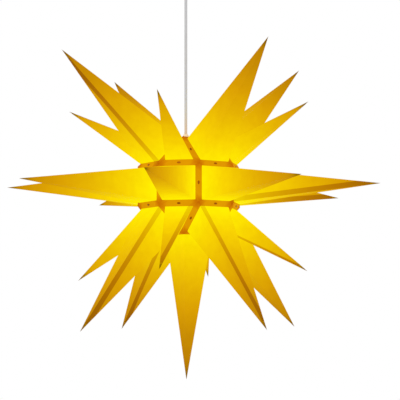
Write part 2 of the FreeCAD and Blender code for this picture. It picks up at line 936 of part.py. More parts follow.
pin = paper_fastener()
slanted = (core_half + core_edge / 2) / 2
pin_rings = {
    "cover_fasteners": core_half,
    "upper_fasteners": slanted,
    "upper_belt_fasteners": core_edge / 2,
    "belt_fasteners": 0,
    "lower_belt_fasteners": -core_edge / 2,
    "lower_fasteners": -slanted,
    "bottom_fasteners": -core_half,
}
for name, height in pin_rings.items():
    save(name, fastener_group(height, pin, all_joins))

nut_bore = stem_d + 2 * running_gap
save("hanger_plate", hanger_plate())
save("star_grip", star_grip())
save("star_grip_nut", hex_nut(plate_bottom, nut_bore))
save("lampholder_cap", lampholder_cap())
save("lampholder_body", lampholder_body())
save("lampholder_insert", lampholder_insert())
save("lampholder_shell", lampholder_shell())
save("lampholder_contact", centre_contact())
save("lampholder_screws", lampholder_screws())
save("lamp_lead", lamp_lead())
save("lamp_contact", lamp_contact())
save("lamp_insulator", lamp_insulator())
save("lamp_screw_shell", lamp_shell())
save("lamp_housing", lamp_housing())
save("lamp_board", lamp_board())
save("lamp_globe", lamp_globe())
save("canopy", canopy())
save("ceiling_bracket", ceiling_bracket())
save("canopy_screws", side_screws())
save("ceiling_grip", ceiling_grip())
save("ceiling_grip_nut", hex_nut(canopy_floor + nut_height, nut_bore))
save("terminal_block", terminal_block())
save("terminal_screws", terminal_screws())
save("cord_tail", cord_tail())
save("cord_bend", cord_bend())
save("cord", cord())
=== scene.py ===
# %% [markdown]
# This file dresses a paper star lantern: twenty-five folded paper points round a body with
# twenty-six faces, hung by its lamp cord from a ceiling canopy. The construction model is loaded
# first and never changed, so every new piece takes its place and size from it.

# %% Load the frame
import json
import math

import bmesh
import bpy
from mathutils import Matrix, Vector


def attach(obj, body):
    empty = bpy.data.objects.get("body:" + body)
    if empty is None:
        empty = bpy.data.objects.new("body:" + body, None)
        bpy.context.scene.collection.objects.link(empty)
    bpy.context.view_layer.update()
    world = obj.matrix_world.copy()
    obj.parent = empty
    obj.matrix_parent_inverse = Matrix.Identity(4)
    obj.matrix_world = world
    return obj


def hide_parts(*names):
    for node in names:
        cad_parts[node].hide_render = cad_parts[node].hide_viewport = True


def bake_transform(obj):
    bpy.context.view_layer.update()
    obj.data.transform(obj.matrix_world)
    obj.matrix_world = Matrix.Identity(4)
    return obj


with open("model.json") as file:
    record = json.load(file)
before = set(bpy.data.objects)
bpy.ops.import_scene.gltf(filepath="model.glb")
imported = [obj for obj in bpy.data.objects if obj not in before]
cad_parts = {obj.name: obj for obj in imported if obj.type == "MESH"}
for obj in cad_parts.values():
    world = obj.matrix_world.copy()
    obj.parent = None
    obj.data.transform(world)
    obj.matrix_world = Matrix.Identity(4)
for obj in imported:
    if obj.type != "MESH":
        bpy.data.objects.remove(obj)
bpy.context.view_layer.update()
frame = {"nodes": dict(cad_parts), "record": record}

nodes = frame["nodes"]

# %% [markdown]
# The photograph was taken a little below the star, so the camera looks slightly upwards and the
# belt of the star is seen from underneath. A long lens from two and a half metres keeps the
# points in proportion. The star sits left of and above the middle of the picture, which is done
# with a small lens shift, as a product photographer would, instead of turning the camera.

# %% Camera
star_drop = 0.380
star_shift = 0.005
camera_distance = 2.4905
camera_tilt = math.radians(5.617)
picture_width = 400
focal_pixels = 1585
sensor_width = 36
star_pixel = Vector((189.0, 187.4))

star_centre = Vector((star_shift, 0, -star_drop))
view_line = Vector((0, math.cos(camera_tilt), math.sin(camera_tilt)))
lens = bpy.data.cameras.new("camera")
lens.sensor_width = sensor_width
lens.lens = sensor_width * focal_pixels / picture_width
lens.shift_x = (picture_width / 2 - star_pixel.x) / picture_width
lens.shift_y = (star_pixel.y - picture_width / 2) / picture_width
camera = bpy.data.objects.new("camera", lens)
camera.location = star_centre - view_line * camera_distance
camera.rotation_euler = (math.pi / 2 + camera_tilt, 0, 0)
bpy.context.scene.collection.objects.link(camera)
bpy.context.scene.camera = camera
print("lens", round(lens.lens, 1), "mm, shift", round(lens.shift_x, 4), round(lens.shift_y, 4))

# %% [markdown]
# The lamp cord carries the star, so it hangs straight. Its route is a curve with three control
# points: the mouth of the ceiling grip, the place where the cord bends when the star swings, and
# the star's own grip. A bevelled curve would give the same shape; here a ring of vertices is
# extruded along the curve's line.

# %% Cord
cord_diameter = 0.0045
cord_route = [(0, 0, -0.061), (0, 0, -0.070), (0, 0, -0.30195)]
cord_sides = 20
cord_steps = 24


def show(piece_name, mesh):
    """Puts a finished mesh into the scene, at the origin."""
    piece = bpy.data.objects.new(piece_name, mesh)
    bpy.context.scene.collection.objects.link(piece)
    return piece


def new_ring(bm, edges):
    """Extrudes edges and returns the new vertices and the new edges between them."""
    made = bmesh.ops.extrude_edge_only(bm, edges=edges)["geom"]
    verts = [item for item in made if isinstance(item, bmesh.types.BMVert)]
    fresh = set(verts)
    made_edges = [item for item in made if isinstance(item, bmesh.types.BMEdge)]
    return verts, [edge for edge in made_edges if fresh.issuperset(edge.verts)]


def to_mesh(bm, mesh_name):
    """Turns the working mesh into a finished one."""
    mesh = bpy.data.meshes.new(mesh_name)
    bm.to_mesh(mesh)
    bm.free()
    return mesh


def route_points(route):
    """The smooth line of a route, as points read from its own curve."""
    curve = bpy.data.curves.new("cord_route", "CURVE")
    curve.dimensions = "3D"
    curve.resolution_u = cord_steps
    spline = curve.splines.new("NURBS")
    spline.points.add(len(route) - 1)
    for point, spot in zip(spline.points, route):
        point.co = (*spot, 1)
    spline.order_u = 3
    spline.use_endpoint_u = True
    line = bpy.data.objects.new("cord_route", curve)
    points = [vertex.co.copy() for vertex in bpy.data.meshes.new_from_object(line).vertices]
    bpy.data.objects.remove(line)
    return points


def sheath(points, diameter):
    """A closed round tube with a ring at each point of a line that goes straight down."""
    bm = bmesh.new()
    start = Matrix.Translation(points[0])
    bmesh.ops.create_circle(bm, cap_ends=True, segments=cord_sides, radius=diameter / 2, matrix=start)
    ring = bm.edges[:]
    for before, after in zip(points, points[1:]):
        verts, ring = new_ring(bm, ring)
        bmesh.ops.translate(bm, vec=after - before, verts=verts)
    bmesh.ops.contextual_create(bm, geom=ring)
    bmesh.ops.recalc_face_normals(bm, faces=bm.faces)
    mesh = to_mesh(bm, "lamp_cord")
    mesh.shade_smooth()
    return mesh


cord_line = route_points(cord_route)
lamp_cord = show("lamp_cord", sheath(cord_line, cord_diameter))
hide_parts("cord_bend", "cord")
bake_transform(lamp_cord)

# %% [markdown]
# The points stand on a body with eighteen square and eight three-sided faces, one of which is
# the lid. Its corners are every order and sign of half an edge, half an edge and the long half.
# Each face is found as the corners that lie furthest along its direction, and the tip of its
# point is read from the frame, so every droop of the real paper is kept.

# %% The body that the points stand on
core_edge = 0.063
core_turn = math.radians(33)
paper = 0.0004
base_inset = 0.0054
touching = 1e-5
upright = 0.99
core_half = core_edge * (1 + math.sqrt(2)) / 2


class StarFace:
    """A face of the body: the direction it looks in, its corners in order and its paper piece."""

    def __init__(self, normal, corners):
        self.normal = normal
        self.middle = sum(corners, Vector()) / len(corners)
        first = (corners[0] - self.middle).normalized()
        second = normal.cross(first)
        self.corners = sorted(
            corners, key=lambda c: math.atan2((c - self.middle) @ second, (c - self.middle) @ first)
        )
        self.name = ""
        self.tip = self.middle
        self.order = 0

    def side(self, index):
        """The two body corners at the ends of one side."""
        return self.corners[index], self.corners[(index + 1) % len(self.corners)]

    def base(self):
        """The corners drawn in from every edge, where the paper is folded."""
        first, second = self.side(0)
        apothem = ((first + second) / 2 - self.middle).length
        share = 1 - base_inset / apothem
        return [self.middle + (corner - self.middle) * share for corner in self.corners]

    def walls(self):
        """The pair of base corners under each wall."""
        base = self.base()
        return list(zip(base, base[1:] + base[:1]))


def star_faces():
    """The twenty-six faces of the body, without names yet."""
    spin = Matrix.Rotation(core_turn, 3, "Z")
    corners = []
    for long_axis in range(3):
        for signs in [(a, b, c) for a in (-1, 1) for b in (-1, 1) for c in (-1, 1)]:
            spot = [signs[0] * core_edge / 2, signs[1] * core_edge / 2]
            spot.insert(long_axis, signs[2] * core_half)
            corners.append(star_centre + spin @ Vector(spot))
    faces = []
    for way in [Vector((x, y, z)) for x in (-1, 0, 1) for y in (-1, 0, 1) for z in (-1, 0, 1)]:
        if way.length > 0:
            normal = (spin @ way).normalized()
            reach = max((corner - star_centre) @ normal for corner in corners)
            own = [c for c in corners if reach - (c - star_centre) @ normal < touching]
            faces.append(StarFace(normal, own))
    return faces


def tip_of(node):
    """The vertex of a paper piece that lies furthest from the star's centre."""
    spots = [vertex.co for vertex in nodes[node].data.vertices]
    return max(spots, key=lambda spot: (spot - star_centre).length).copy()


faces = star_faces()
paper_nodes = [name for name in nodes if "_point" in name] + ["star_cover"]
tips = {name: tip_of(name) for name in paper_nodes}
for face in faces:
    is_lid = face.normal.z > upright
    face.name = "star_cover" if is_lid else max(
        (name for name in paper_nodes if name != "star_cover"),
        key=lambda name: (tips[name] - star_centre).normalized() @ face.normal,
    )
    face.tip = tips[face.name]
for order, face in enumerate(sorted(faces, key=lambda f: (-round(f.middle.z, 6), f.name))):
    face.order = order
print(len(faces), "faces,", len({face.name for face in faces}), "paper pieces")

# %% [markdown]
# Two points are held together by flaps that overlap in a band between them. Seen from one point,
# the flap starts at the fold, grows wider to the middle of the band and narrows again, because
# it is cut to the corner of the body. The higher point's flap lies on top.

# %% The band between two points
flap_gap = 0.0006
flap_overrun = 0.0022
flap_ramp = 0.0012


class Band:
    """The overlap on one side of a face: where it lies, how wide it is and whose flap is on top."""

    def __init__(self, face, index):
        self.ends = face.side(index)
        self.other = next(
            other for other in faces
            if other is not face and all(
                any((end - corner).length < touching for corner in other.corners) for end in self.ends
            )
        )
        edge_middle = (self.ends[0] + self.ends[1]) / 2
        self.root = edge_middle + (face.middle - edge_middle).normalized() * base_inset
        far = edge_middle + (self.other.middle - edge_middle).normalized() * base_inset
        self.outward = (face.normal + self.other.normal).normalized()
        self.along = (self.ends[1] - self.ends[0]).normalized()
        self.across = (far - self.root).normalized()
        self.width = (far - self.root).length
        self.middle = (self.root + far) / 2
        self.on_top = face.order < self.other.order
        depth = (self.middle - star_centre) @ self.outward
        crest = (edge_middle - star_centre) @ self.outward
        self.half_lengths = (
            self.root_half(face),
            core_edge / 2 * depth / crest + flap_overrun,
            self.root_half(self.other) + flap_overrun / 2,
        )

    def root_half(self, face):
        """Half the length of a face's fold."""
        first, second = face.base()[:2]
        return (second - first).length / 2

    def half_at(self, across):
        """Half the length of the flap at a distance from its fold."""
        share = across / (self.width / 2)
        start, middle, end = self.half_lengths
        if share <= 1:
            return start + (middle - start) * share
        return middle + (end - middle) * (share - 1)


bands = {face.name: [Band(face, index) for index in range(len(face.corners))] for face in faces}
print("bands are", round(bands["bottom_point"][0].width * 1000, 2), "mm wide")

# %% [markdown]
# Each point is one sheet: its walls run from the folds of the base to the tip, and the sheet is
# closed along one crease by a glued strip that shows dark when the lamp is on. A base outline is
# extruded ring by ring, and each new ring is scaled towards the tip, so that all walls meet
# there. The creases are rounded a little, because paper does not fold to a knife edge.

# %% Walls and flaps of a paper point
crease_round = 0.0008
wall_columns = 10
row_shares = (0.94, 0.86, 0.76, 0.66, 0.56, 0.46, 0.37, 0.28, 0.20, 0.13, 0.075, 0.035)
wall_bow = 0.0011
parallel = 0.999


def base_outline(bm, face):
    """A flat outline with rounded corners and divided sides."""
    base = face.base()
    to_corner = (base[0] - face.middle).normalized()
    place = Matrix((to_corner.cross(face.normal), to_corner, face.normal)).transposed().to_4x4()
    place.translation = face.middle
    radius = (base[0] - face.middle).length
    bmesh.ops.create_circle(bm, cap_ends=True, segments=len(base), radius=radius, matrix=place)
    bmesh.ops.bevel(
        bm, geom=bm.verts[:], affect="VERTICES", offset=crease_round, segments=2, profile=0.5,
        material=-1,
    )
    sides = [edge for edge in bm.edges if edge.calc_length() > 4 * crease_round]
    bmesh.ops.subdivide_edges(bm, edges=sides, cuts=wall_columns - 1)


def raise_walls(bm, face):
    """Rings that shrink towards the tip, closed there in one point."""
    ring = bm.edges[:]
    share = 1.0
    for row in row_shares:
        verts, ring = new_ring(bm, ring)
        bmesh.ops.scale(
            bm, vec=Vector.Fill(3, row / share), space=Matrix.Translation(-face.tip), verts=verts
        )
        share = row
    verts, ring = new_ring(bm, ring)
    bmesh.ops.pointmerge(bm, verts=verts, merge_co=face.tip)


def add_flap(bm, band, fold):
    """Three strips from the fold across the band: a ramp, then flat to the far side."""
    turned_frame = Matrix((band.along, band.across, band.outward)).to_4x4()
    space = turned_frame @ Matrix.Translation(-band.middle)
    rise = band.outward * (paper if band.on_top else 0)
    start = 0.0
    edges = fold
    for reach in (flap_ramp, band.width / 2, band.width - flap_gap):
        verts, edges = new_ring(bm, edges)
        bmesh.ops.translate(bm, vec=band.across * (reach - start), verts=verts)
        if start == 0:
            bmesh.ops.translate(bm, vec=rise, verts=verts)
        widen = band.half_at(reach) / band.half_at(start)
        bmesh.ops.scale(bm, vec=(widen, 1, 1), space=space, verts=verts)
        start = reach


def fold_edges(bm, band):
    """The base edges on a band's fold, with the near half of the rounded corner at each end."""
    found = []
    for edge in bm.edges:
        along = (edge.verts[1].co - edge.verts[0].co).normalized()
        middle = (edge.verts[0].co + edge.verts[1].co) / 2 - band.root
        aside = middle - band.along * (middle @ band.along)
        if abs(along @ band.along) > parallel and aside.length < touching:
            found.append(edge)
    ends = {vert for edge in found for vert in edge.verts}
    corners = [e for e in bm.edges if e.is_boundary and e not in found and not ends.isdisjoint(e.verts)]
    return found + corners


# %% [markdown]
# The glued strip is as wide at the tip as at the base, so it is cut out of its wall with planes,
# one along the crease and one across the tip. Where the glow is darker is written on the mesh as
# two corner attributes, "laps" for glued strips and the lid, and "flaps" for the bands, and a
# vertex attribute, "near_tip", grows to one at the tip. The paper's glow reads them later. An
# attribute moves with the mesh, where a painted picture would need a map. Two strips are cut
# wider or narrower than the others. The whole lid is marked like a glued strip, so its glow is
# darker: painted shade of the board that lies under it.

# %% Where the paper lies double
glue_laps = {
    "belt_point": [
        "left down", "left down", "left down", "left up",
        "right down", "left down", "left down", "right down",
    ],
    "upper_square_point": ["down right", "down right", "right up", "right up"],
    "upper_triangle_point": ["left up", "left up", "right up", "right up"],
    "lower_square_point": ["down right", "right up", "up left", "right down"],
    "lower_triangle_point": ["left up", "up right", "left down", "right up"],
    "bottom_point": ["up right"],
}
lap_width = 0.0080
lap_stop = 0.016
# Two strips are cut wider or narrower than the rest, so their darker glow covers more or less of the
# wall.
uneven_laps = {"upper_square_point_2": 0.0135, "lower_triangle_point_3": 0.0038}
corner_flaps = 0.8
corner_reach = 0.011
corner_full = 0.004
tip_fade = 0.030
same_wall = 0.9999


def towards(face, word):
    """Left, right, up or down on a face, as someone in front of it sees them."""
    if abs(face.normal.z) > upright:
        right, up = Vector((1, 0, 0)), Vector((0, 1, 0))
    else:
        right = Vector((-face.normal.y, face.normal.x, 0)).normalized()
        up = face.normal.cross(right)
    ways = {"right": right, "left": -right, "up": up, "down": -up}
    return ways[word]


def lap_corners(face):
    """The two base corners of the wall with the glued strip, the one on the closed crease first."""
    tier, _, number = face.name.rpartition("_")
    if not number.isdigit():
        tier, number = face.name, "1"
    wall_word, end_word = glue_laps[tier][int(number) - 1].split()
    side = max(
        face.walls(), key=lambda ends: (ends[0] + ends[1] - 2 * face.middle) @ towards(face, wall_word)
    )
    return sorted(side, key=lambda spot: -(spot - face.middle) @ towards(face, end_word))


def mark_darker_glow(parts, laps):
    """Marks these faces' corners as glowing darker, for double paper and for the lid's painted shade.
    """
    for part in parts:
        for loop in part.loops:
            loop[laps] = 1.0


def cut_lap(bm, face, laps):
    """Cuts the glued strip into its wall and marks it as lying double."""
    closed, free = lap_corners(face)
    crease = (face.tip - closed).normalized()
    across = (free - closed) - crease * ((free - closed) @ crease)
    across.normalize()
    outward = crease.cross(across)
    width = uneven_laps.get(face.name, lap_width)
    wall = [part for part in bm.faces if abs(part.normal @ outward) > same_wall]
    limits = [(closed + across * width, across), (face.tip - face.normal * lap_stop, face.normal)]
    for spot, way in limits:
        parts = set(wall)
        for part in wall:
            parts.update(part.edges)
            parts.update(part.verts)
        cut = bmesh.ops.bisect_plane(
            bm, geom=list(parts), dist=touching / 10, plane_co=spot, plane_no=way
        )["geom"]
        wall = [part for part in cut if isinstance(part, bmesh.types.BMFace)]
    for part in wall:
        middle = part.calc_center_median()
        if all((middle - spot) @ way < 0 for spot, way in limits):
            mark_darker_glow([part], laps)


def mark_closed_crease(bm, face, laps):
    """The paper is also double in the rounding of the crease that is glued."""
    closed = lap_corners(face)[0]
    crease = (closed - face.tip).normalized()
    for part in bm.faces:
        away = part.calc_center_median() - face.tip
        share = -(away @ face.normal) / ((face.tip - face.middle) @ face.normal)
        if (away - crease * (away @ crease)).length < share * crease_round:
            mark_darker_glow([part], laps)


def mark_tip(bm, face, near_tip):
    """Writes how near each vertex is to the tip, from nothing to one."""
    for vert in bm.verts:
        vert[near_tip] = max(0.0, 1 - (face.tip - vert.co) @ face.normal / tip_fade)


def mark_flap(bm, band, flaps, first_face):
    """A flap counts as double, and as more near its ends, where several flaps meet."""
    for part in bm.faces[first_face:]:
        for loop in part.loops:
            place = abs((loop.vert.co - band.middle) @ band.along)
            meeting = (place - core_edge / 2 + corner_reach) / (corner_reach - corner_full)
            loop[flaps] = 1 + corner_flaps * min(1.0, max(0.0, meeting))


print(sum(len(laps) for laps in glue_laps.values()), "points with a glued strip")

# %% [markdown]
# A paper wall is stretched between its creases and sinks a little in the middle. The sag is
# nothing at the creases, at the fold and at the tip, so neighbouring walls still meet. Moving
# the vertices by a formula is enough here: a cloth simulation would crumple a sheet this stiff.
# Last, the open sheet gets its thickness inwards, so the folds stay where the body needs them.

# %% Make every paper piece
sag_span = (0.02, 0.999)


def bow_walls(bm, face):
    """Lets each wall sink a little between its creases."""
    height = (face.tip - face.middle) @ face.normal
    for vert in bm.verts:
        share = (face.tip - vert.co) @ face.normal / height
        if not sag_span[0] < share < sag_span[1]:
            continue
        spot = face.tip + (vert.co - face.tip) / share
        for here, after in face.walls():
            along = after - here
            place = (spot - here) @ along / along.length_squared
            inward = along.cross(face.tip - here).normalized()
            if abs((vert.co - face.tip) @ inward) < touching and 0 < place < 1:
                if (face.middle - here) @ inward < 0:
                    inward.negate()
                vert.co += inward * wall_bow * 4 * place * (1 - place) * math.sin(math.pi * share)
                break


def paper_mesh(face):
    """One sheet: its walls, unless it is the lid, and a flap on every side."""
    bm = bmesh.new()
    laps = bm.loops.layers.float.new("laps")
    flaps = bm.loops.layers.float.new("flaps")
    near_tip = bm.verts.layers.float.new("near_tip")
    base_outline(bm, face)
    if face.name == "star_cover":
        # The whole lid glows darker: painted shade of the board that lies under it.
        mark_darker_glow(bm.faces, laps)
    else:
        bmesh.ops.delete(bm, geom=bm.faces[:], context="FACES_ONLY")
        raise_walls(bm, face)
        bmesh.ops.recalc_face_normals(bm, faces=bm.faces)
        mark_closed_crease(bm, face, laps)
        cut_lap(bm, face, laps)
        mark_tip(bm, face, near_tip)
        bow_walls(bm, face)
    for band in bands[face.name]:
        count = len(bm.faces)
        add_flap(bm, band, fold_edges(bm, band))
        bm.faces.ensure_lookup_table()
        mark_flap(bm, band, flaps, count)
    bmesh.ops.recalc_face_normals(bm, faces=bm.faces)
    largest = max(bm.faces, key=lambda part: part.calc_area())
    inside = (face.tip + star_centre) / 2
    if largest.normal @ (largest.calc_center_median() - inside) < 0:
        bmesh.ops.reverse_faces(bm, faces=bm.faces)
    return to_mesh(bm, face.name)


paper_pieces = []
for face in faces:
    piece = show("paper_" + face.name, paper_mesh(face))
    wall = piece.modifiers.new("paper_thickness", "SOLIDIFY")
    wall.thickness = paper
    wall.offset = -1
    wall.use_even_offset = True
    wall.use_quality_normals = True
    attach(piece, "star")
    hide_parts(face.name)
    paper_pieces.append(piece)
print(len(paper_pieces), "paper pieces,", sum(len(p.data.polygons) for p in paper_pieces), "faces")

# %% [markdown]
# Every finish is built from a few nodes, so small helpers keep the recipes short. One adds a
# node, sets it and joins its inputs. Others make a colour ramp, stretch a value or add noise.
# "two_tone" makes a whole plain finish: two tones in soft patches, uneven gloss and a fine grain,
# all read from Object coordinates, so nothing slides when the star swings.

# %% Helpers for finishes
noise_span = (0.3, 0.7)
tone_places = (0.35, 0.65)


def add(tree, kind, inputs=None, **settings):
    """A new node with its settings. An input takes a value, or the socket that feeds it."""
    made = tree.nodes.new(kind)
    for setting, value in settings.items():
        setattr(made, setting, value)
    for socket, value in (inputs or {}).items():
        if isinstance(value, bpy.types.NodeSocket):
            tree.links.new(value, made.inputs[socket])
        else:
            made.inputs[socket].default_value = value
    return made


def ramp(tree, factor, stops):
    """A colour that runs through (place, colour) stops as its factor grows."""
    made = add(tree, "ShaderNodeValToRGB", {"Fac": factor})
    elements = made.color_ramp.elements
    while len(elements) < len(stops):
        elements.new(1.0)
    for element, (spot, colour) in zip(elements, stops):
        element.position = spot
        element.color = (*colour, 1)
    return made.outputs["Color"]


def spread(tree, value, before, after):
    """Stretches a value from one span to another."""
    made = add(tree, "ShaderNodeMapRange", {
        "Value": value, "From Min": before[0], "From Max": before[1],
        "To Min": after[0], "To Max": after[1],
    })
    return made.outputs["Result"]


def noise(tree, place, patch, detail=4):
    """Soft noise whose patches are about this many metres across."""
    made = add(tree, "ShaderNodeTexNoise", {"Vector": place, "Scale": 1 / patch, "Detail": detail})
    return made.outputs["Fac"]


def new_finish(finish_name, **sockets):
    """A material with its shader, and the place on the piece that patterns are read from."""
    material = bpy.data.materials.new(finish_name)
    material.use_nodes = True
    tree = material.node_tree
    shader = tree.nodes["Principled BSDF"]
    for socket, value in sockets.items():
        shader.inputs[socket.replace("_", " ")].default_value = value
    return material, tree, shader, add(tree, "ShaderNodeTexCoord").outputs["Object"]


def two_tone(finish_name, dark, light, patch, rough, grain, depth, **sockets):
    """Two tones in patches, gloss that follows them, and a grain of a size and depth in metres."""
    material, tree, shader, place = new_finish(finish_name, **sockets)
    patches = noise(tree, place, patch)
    relief = add(tree, "ShaderNodeBump", {"Height": noise(tree, place, grain), "Distance": depth})
    tones = ramp(tree, patches, list(zip(tone_places, (dark, light))))
    tree.links.new(tones, shader.inputs["Base Color"])
    tree.links.new(spread(tree, patches, noise_span, rough), shader.inputs["Roughness"])
    tree.links.new(relief.outputs["Normal"], shader.inputs["Normal"])
    return material


def give(piece, material):
    """Puts a finish on a new piece, or in the slots of a construction piece."""
    if not piece.material_slots:
        piece.data.materials.append(material)
    for slot in piece.material_slots:
        slot.material = material


finishes = {}
print("helpers ready")

# %% [markdown]
# The lit paper is the whole look of the star. Its glow comes from the lamp, so it fades with the
# distance from it, from clear yellow to amber, and again in the narrow tips, where little light
# gets in. The lamp shines more to its sides than up and down, so heights count as longer. Light
# that passes two layers is darker and redder, which raises a tint to the power of the layers. A
# lamp inside thin translucent walls would give this too, but with much noise and a long render,
# so the paper glows by itself. Soft patches and fibres keep it from looking like plastic.

# %% Lit paper
lamp_squash = 1.28
lamp_drop = 0.008
glow_stops = [
    (0.080, (0.86, 0.815, 0.0003)),
    (0.130, (0.78, 0.580, 0.0003)),
    (0.185, (0.645, 0.395, 0.0003)),
    (0.235, (0.545, 0.275, 0.0003)),
    (0.285, (0.42, 0.188, 0.0003)),
    (0.345, (0.335, 0.127, 0.0003)),
]
tip_stops = [
    (0.00, (1, 1, 1)),
    (0.37, (0.82, 0.84, 0.84)),
    (0.58, (0.44, 0.50, 0.50)),
    (0.74, (0.28, 0.33, 0.33)),
    (1.00, (0.05, 0.08, 0.08)),
]
lap_tint = (0.50, 0.30, 0.30, 1)
lap_depth = (0.26, 1.25)
flap_tint = (0.68, 0.30, 0.30, 1)
# The paper's own colour is far darker than yellow paper: painted shade, as little light falls on its
# outside and the glow gives the rest. Its two tones follow the fibres.
shaded_paper_colour = (0.20, 0.10, 0.0004)
shaded_paper_fibre = (0.185, 0.09, 0.0004)
paper_rough = (0.72, 0.88)
cloud_patch = 0.012
cloud_power = (0.05, -0.03)
fibre_size = 0.0009
fibre_depth = 0.00004


def through(tree, colour, filter_colour):
    """A colour seen through a filter."""
    mixed = add(tree, "ShaderNodeMix", {"Factor": 1}, data_type="RGBA", blend_type="MULTIPLY")
    tree.links.new(colour, mixed.inputs["A"])
    tree.links.new(filter_colour, mixed.inputs["B"])
    return mixed.outputs["Result"]


def tinted(tree, tint, power, colour):
    """A colour seen through a tint that is raised to a power."""
    deeper = add(tree, "ShaderNodeGamma", {"Color": tint, "Gamma": power})
    return through(tree, colour, deeper.outputs["Color"])


def star_paper():
    """Paper that glows by distance from the lamp, by nearness to a tip and by its layers."""
    material, tree, shader, place = new_finish(
        "star_paper", Specular_IOR_Level=0.01, Emission_Strength=1.0
    )
    centre = Vector((star_centre.x, star_centre.y, (star_centre.z - lamp_drop) * lamp_squash))
    squashed = add(
        tree, "ShaderNodeMapping", {"Vector": place, "Scale": (1, 1, lamp_squash), "Location": -centre}
    )
    away = add(
        tree, "ShaderNodeVectorMath", {0: squashed.outputs["Vector"]}, operation="LENGTH"
    ).outputs["Value"]
    start, end = glow_stops[0][0], glow_stops[-1][0]
    stops = [((spot - start) / (end - start), colour) for spot, colour in glow_stops]
    glow = ramp(tree, spread(tree, away, (start, end), (0, 1)), stops)
    near_tip = add(tree, "ShaderNodeAttribute", attribute_name="near_tip").outputs["Fac"]
    glow = through(tree, glow, ramp(tree, near_tip, tip_stops))
    # Glued strips glow darker through two layers; the lid is marked the same way, as painted shade of
    # its board.
    laps = add(tree, "ShaderNodeAttribute", attribute_name="laps").outputs["Fac"]
    flaps = add(tree, "ShaderNodeAttribute", attribute_name="flaps").outputs["Fac"]
    deepness = spread(tree, away, (start, end), lap_depth)
    lap_power = add(tree, "ShaderNodeMath", {0: laps, 1: deepness}, operation="MULTIPLY")
    glow = tinted(tree, lap_tint, lap_power.outputs["Value"], glow)
    glow = tinted(tree, flap_tint, flaps, glow)
    cloudy = spread(tree, noise(tree, place, cloud_patch, detail=6), noise_span, cloud_power)
    glow = tinted(tree, lap_tint, cloudy, glow)
    fibres = noise(tree, place, fibre_size, detail=5)
    relief = add(tree, "ShaderNodeBump", {"Height": fibres, "Distance": fibre_depth})
    # Both fibre tones are darkened as painted shade on the paper's outside.
    shaded_paper_tone = ramp(tree, fibres, list(zip(tone_places, (shaded_paper_fibre, shaded_paper_colour))))
    tree.links.new(shaded_paper_tone, shader.inputs["Base Color"])
    tree.links.new(spread(tree, fibres, noise_span, paper_rough), shader.inputs["Roughness"])
    tree.links.new(relief.outputs["Normal"], shader.inputs["Normal"])
    tree.links.new(glow, shader.inputs["Emission Color"])
    return material


finishes["star_paper"] = star_paper()
print("paper glows from", glow_stops[0][0], "to", glow_stops[-1][0], "m")

# %% [markdown]
# The sheath of the lamp cord is soft plastic that was drawn through a die, so its faint lines run
# along the cord. Stretching the noise along Z gives them. The lit star throws a warm light on
# the end of the cord and on the grip beside its lid, which fades upwards. It stops under the
# lid, so the lampholder keeps its plain white.

# %% Cord and white plastic
cord_tones = (-0.18, -0.30)
grey_and_star_light_stops = [(0, (0.605, 0.61, 0.625)), (0.5, (0.625, 0.665, 0.735)), (1, (0.70, 0.70, 0.70))]
lit_span = (-0.262, -0.312)
lit_peak = 0.8
black = (0, 0, 0)
white = (1, 1, 1)
warm_white = (1, 0.95, 0.68)
cord_glow = (0.18, 0.075, 0.0375)
grip_glow = (0.24, 0.10, 0.05)
sheath_line = 0.0006
sheath_stretch = 0.04
sheath_depth = 0.00003
sheath_rough = (0.42, 0.58)
handled_patch = 0.03
handled_tones = [(0.3, (0.95, 0.95, 0.955)), (0.7, (1, 1, 1))]


def beside_lid(tree, height, plain, lit):
    """A colour that turns from plain to lit close to the lid of the star, and back below it."""
    nearness = spread(tree, height, lit_span, (0, 1))
    return ramp(tree, nearness, [(0, plain), (lit_peak, lit), (1, plain)])


def cord_sheath():
    """Grey sheath with drawn lines, a little worn by hands, bluer in the middle; near the star its grey
    is lighter and it glows warm, both painted light from the star.
    """
    material, tree, shader, place = new_finish(
        "cord_sheath", Specular_IOR_Level=0.35, Emission_Strength=1.0
    )
    drawn = add(tree, "ShaderNodeMapping", {"Vector": place, "Scale": (1, 1, sheath_stretch)})
    lines = noise(tree, drawn.outputs["Vector"], sheath_line)
    relief = add(tree, "ShaderNodeBump", {"Height": lines, "Distance": sheath_depth})
    height = add(tree, "ShaderNodeSeparateXYZ", {"Vector": place}).outputs["Z"]
    # The grey changes with height: bluer in the middle and lighter at the lower end, where painted
    # light from the star falls.
    grey_and_star_light = ramp(tree, spread(tree, height, cord_tones, (0, 1)), grey_and_star_light_stops)
    worn = ramp(tree, noise(tree, place, handled_patch), handled_tones)
    tree.links.new(through(tree, grey_and_star_light, worn), shader.inputs["Base Color"])
    tree.links.new(beside_lid(tree, height, black, cord_glow), shader.inputs["Emission Color"])
    tree.links.new(spread(tree, lines, noise_span, sheath_rough), shader.inputs["Roughness"])
    tree.links.new(relief.outputs["Normal"], shader.inputs["Normal"])
    return material


def white_plastic():
    """Moulded plastic that takes the star's warm light beside the lid."""
    material = two_tone(
        "white_plastic", (0.76, 0.74, 0.72), (0.82, 0.81, 0.80), 0.010, (0.30, 0.42), 0.0006, 0.00002,
        Emission_Strength=1.0,
    )
    tree = material.node_tree
    shader = tree.nodes["Principled BSDF"]
    place = add(tree, "ShaderNodeTexCoord").outputs["Object"]
    height = add(tree, "ShaderNodeSeparateXYZ", {"Vector": place}).outputs["Z"]
    moulded = shader.inputs["Base Color"].links[0].from_socket
    warmth = beside_lid(tree, height, white, warm_white)
    tree.links.new(through(tree, moulded, warmth), shader.inputs["Base Color"])
    tree.links.new(beside_lid(tree, height, black, grip_glow), shader.inputs["Emission Color"])
    return material


finishes["cord_sheath"] = cord_sheath()
finishes["white_plastic"] = white_plastic()
print(", ".join(finishes))

# %% [markdown]
# The other pieces need only a recipe: a dark and a light tone, the size of the patches, the range
# of roughness, and the size and depth of the grain. The canopy is powder coated, with the small
# waves of baked paint. The metal pieces are tarnished, zinc plated or polished.

